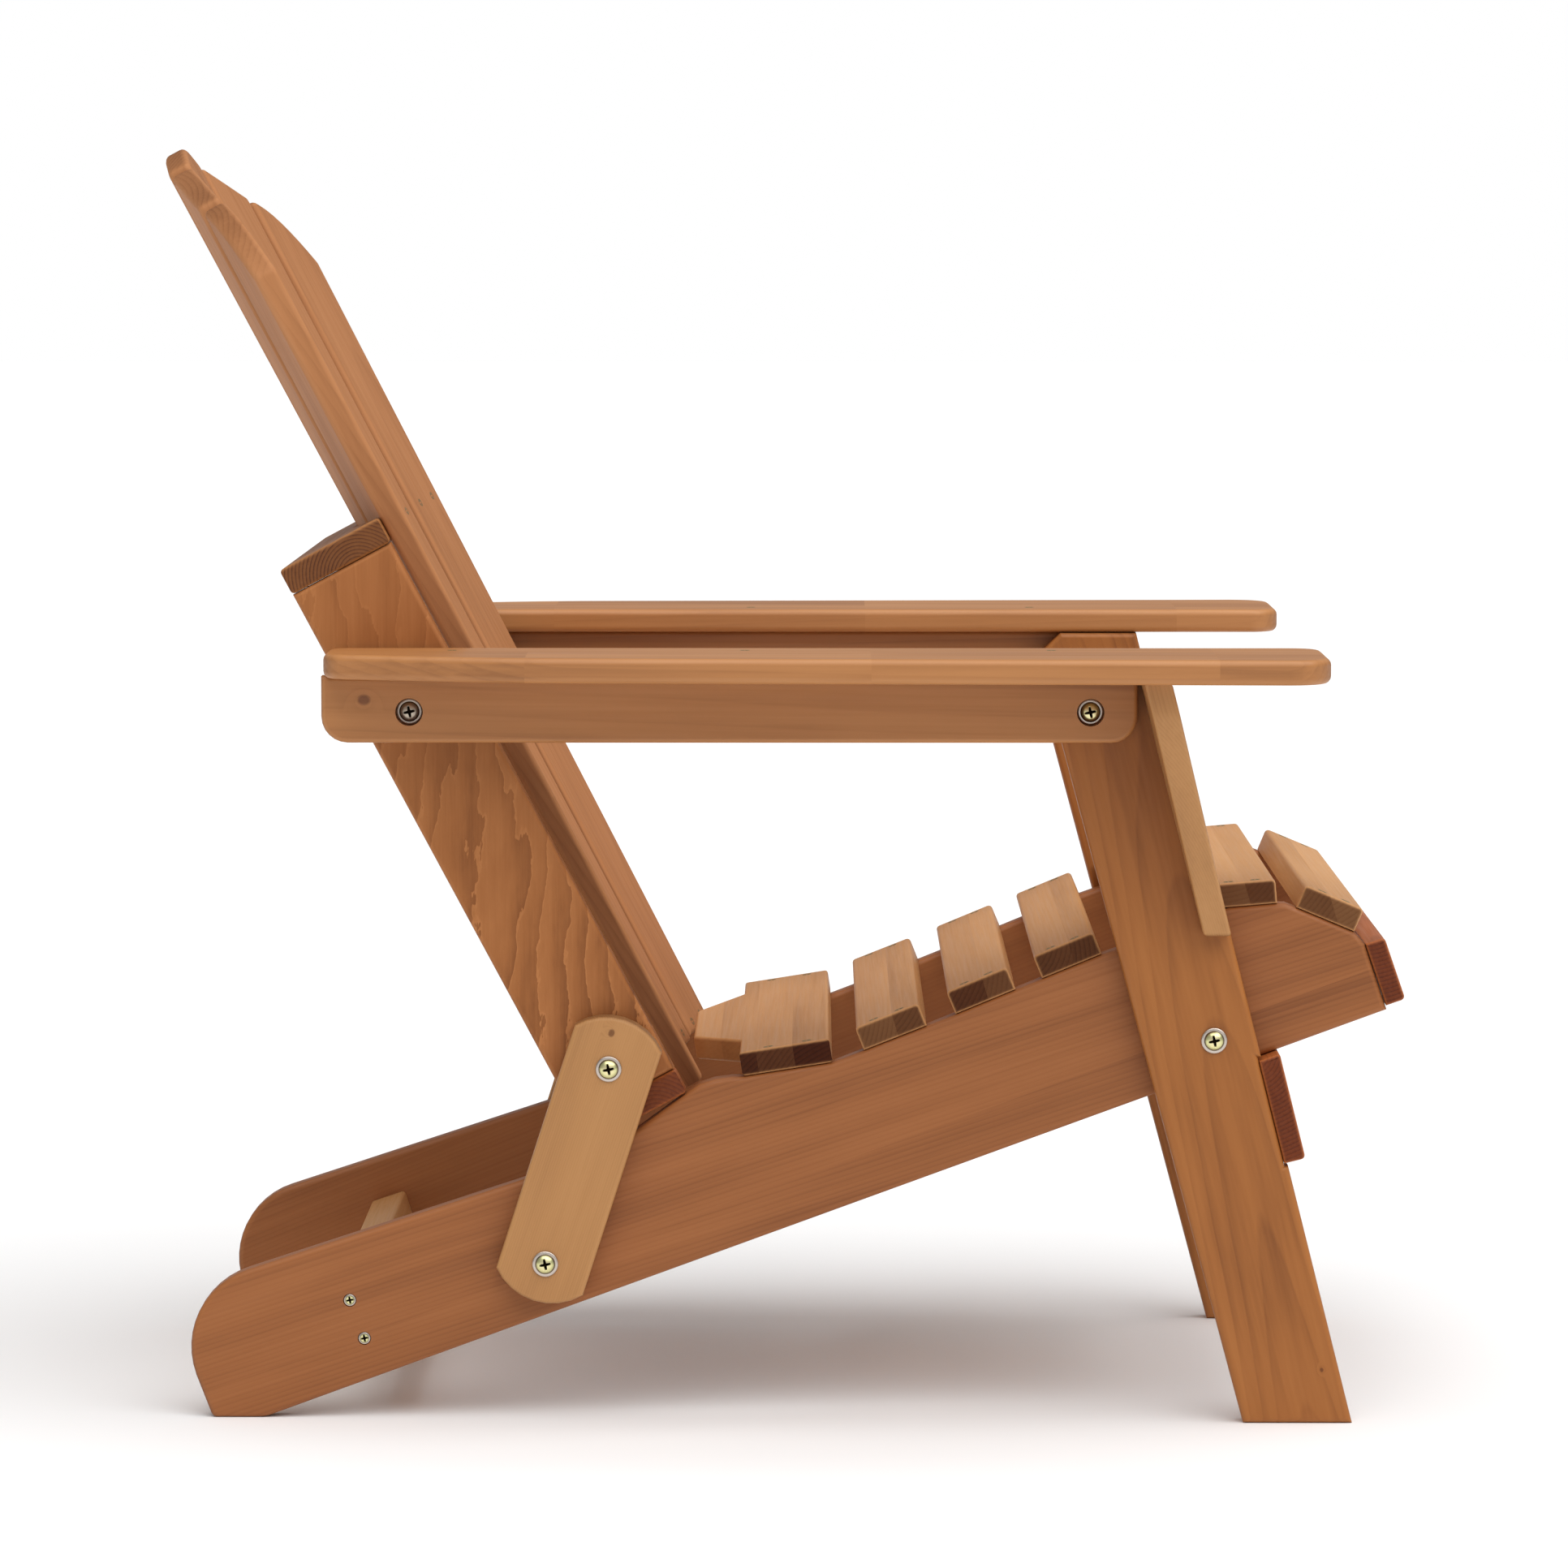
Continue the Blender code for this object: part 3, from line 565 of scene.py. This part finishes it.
back = {
    "up": (0, 0.4715, 0.8819),    # up the back, and out of its front
    "front": (0, -0.8819, 0.4715),
    "stileArris": 3.4 * mm,
    "stileDrift": 0.53,           # the stiles' flat-sawn figure leans 28 degrees off their length
    "stileRings": (0.75, -1.9),   # it is strong below the arms and fades out above them
    "rails": {"back_rail_lower": ("dark", 0.12), "back_rail_upper": ("rail", -0.06)},
    "railArris": 2.8 * mm,
    "plankArris": 4.6 * mm,
    "plankTone": (0.03, -0.02, 0.0, 0.04, 0.02),
    "plankPith": ((0.01, 0.03), (0.0, 0.09), (0.02, 0.05), (-0.02, 0.06), (0.02, 0.08)),
    # painted shade on the planks' long edges, strongest at their feet, where the arms and stiles shade them
    "plankEdgeShade": (1.7, -5.0),
}
backRun = -flatSide("back_rail_lower", -np.array(back["up"]))
for tag, sx in sides:
    board("back_stile_" + tag, "stile", (sx, 0, 0), backRun, arris=back["stileArris"], pith=(0.5, 0.02),
          tilt=(-sx * back["stileDrift"], 0.05), tone=0.02, fade=0.55, ringGain=back["stileRings"])
for node, (wood, tone) in back["rails"].items():
    board(node, wood, backRun, across, arris=back["railArris"], tone=tone, pith=(0.01, 0.02),
          tilt=(0, 0.004), endDark=0.85)
plankFace = {}
for i, tone in enumerate(back["plankTone"]):
    node = "back_plank_%d" % (i + 1)
    plankFace[node] = flatSide(node, back["front"])
    board(node, "plank", plankFace[node], backRun, arris=back["plankArris"], tone=tone,
          pith=back["plankPith"][i], tilt=(0.01, 0.03), edgeDark=back["plankEdgeShade"])
print("back done")

arms = {
    "tone": -0.02,
    "boardTone": -0.06,
    "boardArris": 5.0 * mm,
    "railArris": 3.4 * mm,
    "fingers": (212 * mm, 245 * mm),         # a finger joint this far along, and others this far apart
    # painted shade on the long side edges of the right arm board
    "edge": {"right": (1.0, 0), "left": (0, 0)},
    "knot": (0.262, -0.007, 3.6 * mm),
    "boltPockets": (8 * mm, 12 * mm, 7.9 * mm),
}
for tag, sx in sides:
    board("arm_board_" + tag, "arm", (0, 0, 1), (0, 1, 0), arris=arms["boardArris"],
          tone=arms["boardTone"], pith=(0.06, 0.05), tilt=(0.02, 0.01), fingers=arms["fingers"],
          edgeDark=arms["edge"][tag])
    board("arm_rail_" + tag, "arm", (sx, 0, 0), (0, 1, 0), arris=arms["railArris"], tone=arms["tone"],
          pith=(0.02, 0.07), tilt=(0.01, 0.01), knot=arms["knot"] if sx < 0 else None,
          sunk=arms["boltPockets"])
print("arms done")


driver = {
    "root": 1.15,                # half width of a recess's arm over its width setting is
    "taper": 0.5,                # root - taper * (distance / reach)
    "wall": 0.2 * mm,            # over which the recess deepens
    "runOut": 0.35,              # share of the reach over which it ends
    "dark": 1.6,                 # the painted recess shade comes in this much faster than the depth
    "sharp": 40,                 # edges that turn by more degrees than this stay sharp
}


def spin(profile, around, centres, axes, cross=None):
    # The profile (radius, height) turned about each axis. cross sinks a driver recess of two crossed
    # arms. The attribute holds (radius / largest radius, how far into the recess, 0).
    prof = np.asarray(profile, float)
    a = np.linspace(0, 2 * np.pi, around, endpoint=False)
    x, y = prof[:, 0][:, None] * np.cos(a), prof[:, 0][:, None] * np.sin(a)
    z = np.broadcast_to(prof[:, 1][:, None], x.shape).copy()
    recess = np.zeros_like(z)
    if cross:
        near, far = np.minimum(abs(x), abs(y)), np.maximum(abs(x), abs(y))
        halfWidth = cross["width"] * (driver["root"] - driver["taper"] * far / cross["reach"])
        arm = np.clip((halfWidth - near) / driver["wall"], 0, 1)
        inside = np.clip((cross["reach"] - far) / (driver["runOut"] * cross["reach"]), 0, 1)
        recess = arm * inside * (np.arange(len(prof)) < cross["rows"])[:, None]
        z = z - recess * cross["deep"]
    share = np.broadcast_to(prof[:, 0][:, None] / prof[:, 0].max(), x.shape)
    inRecess = np.clip(recess * driver["dark"], 0, 1)
    spun = np.stack([share, inRecess, np.zeros_like(x)], -1).reshape(-1, 3)
    k, j = np.arange(len(prof) - 1)[:, None], np.arange(around)
    quads = np.stack([k * around + j, (k + 1) * around + j, (k + 1) * around + (j + 1) % around,
                      k * around + (j + 1) % around], -1).reshape(-1, 4)
    points, faces = [], []
    for number, (centre, axis) in enumerate(zip(centres, axes)):
        w = unit(axis)
        u = unit(np.cross(w, (0.0, 0.2, 0.98) if abs(w[2]) < 0.9 else (1, 0, 0)))
        v = np.cross(w, u)
        points.append((np.asarray(centre) + x[..., None] * u + y[..., None] * v + z[..., None] * w)
                      .reshape(-1, 3))
        first = number * x.size
        faces += (quads + first).tolist()
        faces += [(first + j).tolist(), (first + (len(prof) - 1) * around + j)[::-1].tolist()]
    return np.concatenate(points), faces, np.tile(spun, (len(points), 1))


def hardware(name, spun, body, material="zinc", replaced=()):
    co, faces, rings = spun
    piece = addMesh(name, co, faces, materials[material], None, {"spun": ("POINT", rings)})
    piece.data.set_sharp_from_angle(angle=math.radians(driver["sharp"]))
    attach(piece, body)
    if replaced:
        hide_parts(*replaced)
    return piece


bolt = {
    "seat": 5.0 * mm,            # height of the head above its seat
    "dome": (np.linspace(0.02, 4.6, 24), 5.1, 0.045),      # radii, top height, sag for each square mm
    "rim": ((5.4, 3.55), (6.1, 3.1), (6.8, 2.4), (7.2, 1.8), (7.3, 1.45), (8.2, 1.42), (8.9, 1.3),
            (9.3, 0.95), (9.4, 0.6), (9.3, 0.1), (9.0, 0.0)),
    "shank": ((4.0, -0.02), (4.0, 0.6), (3.4, 0.0)),       # the last two are measured from the far end
    "around": 96,
    "cross": {"rows": 24, "width": 1.0 * mm, "reach": 4.3 * mm, "deep": 2.6 * mm},
    "worn": "arm_rear",          # the one that the arm's movement has rubbed dull
}
braceScrew = {
    "top": np.linspace(0.02, 2.9, 16),
    "rim": ((3.8, -0.05), (4.3, -0.3), (4.45, -0.8), (2.0, -2.4), (2.0, -30.0), (0.4, -36.0)),
    "around": 48,
    "cross": {"rows": 16, "width": 0.75 * mm, "reach": 2.9 * mm, "deep": 1.6 * mm},
}
spacer = {
    "profile": ((4.2, 10.3), (16.6, 10.3), (17.6, 9.8), (18, 8.9), (18, -8.9), (17.6, -9.8),
                (16.6, -10.3), (4.2, -10.3)),
    "around": 48,
    "pith": (0, 0.03, 0.05),
}
radii, top, sag = bolt["dome"]
headProfile = np.array([*np.stack([radii, top - sag * radii ** 2], -1), *bolt["rim"]]) * mm
screwProfile = np.array([*[(radius, 0) for radius in braceScrew["top"]], *braceScrew["rim"]]) * mm


def middleOf(node):
    low, high = (np.array(v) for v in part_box(node))
    return low, high, (low + high) / 2


for tag, sx in sides:
    for kind in ("leg", "link_low", "link_high", "arm_front", "arm_rear"):
        node = "bolt_%s_%s" % (kind, tag)
        low, high, mid = middleOf(node)
        outer, inner = (high[0], low[0]) if sx > 0 else (low[0], high[0])
        mid[0] = outer - sx * bolt["seat"]
        shank = np.array(bolt["shank"]) * mm
        shank[1:, 1] -= abs(mid[0] - inner)
        head = spin([*headProfile, *shank], bolt["around"], [mid], [(sx, 0, 0)], bolt["cross"])
        hardware(node + "_head", head, bodyOf[node], "zincWorn" if kind == bolt["worn"] else "zinc",
                 replaced=[node])
    for end in ("top", "bottom"):
        node = "brace_screw_%s_%s" % (tag, end)
        low, high, mid = middleOf(node)
        mid[0] = high[0] if sx > 0 else low[0]
        head = spin(screwProfile, braceScrew["around"], [mid], [(sx, 0, 0)], braceScrew["cross"])
        hardware(node + "_head", head, bodyOf[node], replaced=[node])
    node = "arm_spacer_" + tag
    _, _, mid = middleOf(node)
    ring = spin(np.array(spacer["profile"]) * mm, spacer["around"], [mid], [(sx, 0, 0)])
    piece = hardware(node + "_turned", ring, bodyOf[node], "link", [node])
    # the spacer is wood, so its points have a place in a log, with the grain along y
    place = (ring[0] - mid)[:, [1, 2, 0]] + spacer["pith"]
    for key, values in (("boardPos", place), ("knotAt", np.full(place.shape, noKnot))):
        layer = piece.data.attributes.new(key, "FLOAT_VECTOR", "POINT")
        layer.data.foreach_set("vector", values.astype(np.float32).reshape(-1))
for node in nodes:
    if node.startswith("nut_"):
        nodes[node].data.materials.clear()
        nodes[node].data.materials.append(materials["zinc"])

# wood screws: countersunk, flush with the wood, two at each joint
woodScrew = {
    "top": np.linspace(0.02, 2.6, 12),
    "rim": ((3.4, -0.03), (3.9, -0.25), (4.0, -0.6), (1.8, -2.6), (0.5, -6.0)),
    "around": 32,
    "cross": {"rows": 12, "width": 0.7 * mm, "reach": 2.5 * mm, "deep": 1.5 * mm},
    "proud": 0.1 * mm,
    "plankProud": 0.02 * mm,
    "stringerX": 214.5 * mm,
    "legX": 236 * mm,
    "armX": 257.5 * mm,
    "armY": (-0.20, 0.02, 0.23),
    "slatShares": (0.27, 0.73),              # places across a slat, as shares of its top
    "rearSlatShares": (0.562, 0.838),        # on the rear slat's front part, which is full width
    "apronShares": (0.3, 0.7),
    "braceShares": (0.28, 0.72),
    "plankSpread": {"back_rail_lower": 15 * mm, "back_rail_upper": 19 * mm},
    "plankTop": 0.55,                        # a plank's top part starts this far above its foot, metres
    "onFace": 0.05 * mm,                     # points within this of the outermost one lie on the face
}
woodProfile = np.array([*[(radius, 0) for radius in woodScrew["top"]], *woodScrew["rim"]]) * mm


def screws(name, centres, axes, body):
    turned = spin(woodProfile, woodScrew["around"], centres, axes, woodScrew["cross"])
    hardware(name, turned, body, "zincDull")


def onSide(node, normal, x, shares):
    # points at plus and minus x on a side whose normal has no x, at each share of the way up it
    co, _ = solid(node)
    level = (co @ normal).max()
    run = unit(np.cross(across, normal))
    face = co[co @ normal > level - woodScrew["onFace"]] @ run
    low, wide = face.min(), np.ptp(face)
    height = normal * (level + woodScrew["proud"])
    return [q * across + run * (low + share * wide) + height for share in shares for q in (-x, x)]


centres, axes = [], []
for i in range(len(seatFrame["slatTone"])):
    node = "seat_slat_%d" % (i + 1)
    up = flatSide(node, (0, 0, 1))
    centres += onSide(node, up, woodScrew["stringerX"],
                      woodScrew["rearSlatShares" if i == 0 else "slatShares"])
    axes += [up] * 4
front = flatSide("seat_apron", (0, -1, 0.3))
centres += onSide("seat_apron", front, woodScrew["stringerX"], woodScrew["apronShares"])
screws("seatScrews", centres, axes + [front] * 4, "seat_frame")

# the planks' screws lie on the line from the middle of a plank's foot to the middle of its top part
centres, axes = [], []
for node, normal in plankFace.items():
    co, _ = solid(node)
    face = co[co @ normal > (co @ normal).max() - woodScrew["onFace"]]
    foot = face[np.argsort(face @ backRun)[:2]].mean(0)
    head = face[face @ backRun > foot @ backRun + woodScrew["plankTop"]].mean(0)
    lean = unit(head - foot)
    wide = unit(np.cross(normal, backRun))
    for rail, spread in woodScrew["plankSpread"].items():
        along = (middleOf(rail)[2] - foot) @ backRun / (lean @ backRun)
        middle = foot + lean * along + normal * woodScrew["plankProud"]
        centres += [middle - wide * spread, middle + wide * spread]
        axes += [normal] * 2
screws("plankScrews", centres, axes, "back")

front = flatSide("leg_brace", (0, -1, 0.25))
screws("legBraceScrews", onSide("leg_brace", front, woodScrew["legX"], woodScrew["braceShares"]),
       [front] * 4, "front_legs")
for tag, sx in sides:
    top = middleOf("arm_board_" + tag)[1][2] + woodScrew["proud"]
    centres = [(sx * woodScrew["armX"], y, top) for y in woodScrew["armY"]]
    screws("armScrews_" + tag, centres, [(0, 0, 1)] * len(centres), "arm_" + tag)
print("hardware done")

studio = {
    "floor": ("#F7F7F7", "#FBFBFB"),
    "surround": 0.36,                        # light from the white room; the room itself is seen at 1.0
    "key": 2.95,                             # a wide white panel high on the chair's right: a sun
    "keySpread": 80,                         # lamp whose disc is this many degrees wide
    "keyFrom": (-0.36, -0.22, 0.90),
    "keyAway": 4,
    "floorReach": 30,
    "camera": {"place": (-5.298, -0.02787, 0.8975), "down": 4.885, "turn": 0.224, "lens": 161.55},
}
floorMaterial, t, shader = newMaterial("paleFloor", Roughness=0.9)
cloud = addNode(t, "TexNoise", {"Scale": 2.0, "Vector": addNode(t, "TexCoord").outputs["Object"]})
ramp = addNode(t, "ValToRGB", {0: cloud})
setStops(ramp, [(0.0, linear(studio["floor"][0])), (1.0, linear(studio["floor"][1]))])
t.links.new(ramp.outputs[0], shader.inputs["Base Color"])
corners = np.array([(-1, -1, 0), (1, -1, 0), (1, 1, 0), (-1, 1, 0)]) * float(studio["floorReach"])
floor = addMesh("floor", corners, [[0, 1, 2, 3]], floorMaterial)

lamp = bpy.data.lights.new("keyPanel", "SUN")
lamp.energy, lamp.angle = studio["key"], math.radians(studio["keySpread"])
lampObject = bpy.data.objects.new("keyPanel", lamp)
lampObject.rotation_euler = Vector(studio["keyFrom"]).to_track_quat("Z", "Y").to_euler()
lampObject.location = Vector(studio["keyFrom"]) * studio["keyAway"]
bpy.context.scene.collection.objects.link(lampObject)

world = bpy.data.worlds.new("studio")
world.use_nodes = True
tree = world.node_tree
seen = addNode(tree, "LightPath").outputs["Is Camera Ray"]
strength = addNode(tree, "MapRange", {0: seen, 3: studio["surround"], 4: 1.0})
tree.nodes["Background"].inputs["Color"].default_value = linear("#FFFFFF")
tree.links.new(strength.outputs[0], tree.nodes["Background"].inputs["Strength"])
bpy.context.scene.world = world
bpy.context.scene.view_settings.view_transform = "Standard"

camera = bpy.data.cameras.new("camera")
camera.lens, camera.sensor_width, camera.clip_end = studio["camera"]["lens"], 36.0, 200
cameraObject = bpy.data.objects.new("camera", camera)
cameraObject.location = studio["camera"]["place"]
cameraObject.rotation_euler = (math.radians(90 - studio["camera"]["down"]), 0,
                               math.radians(-90 + studio["camera"]["turn"]))
bpy.context.scene.collection.objects.link(cameraObject)
bpy.context.scene.camera = cameraObject
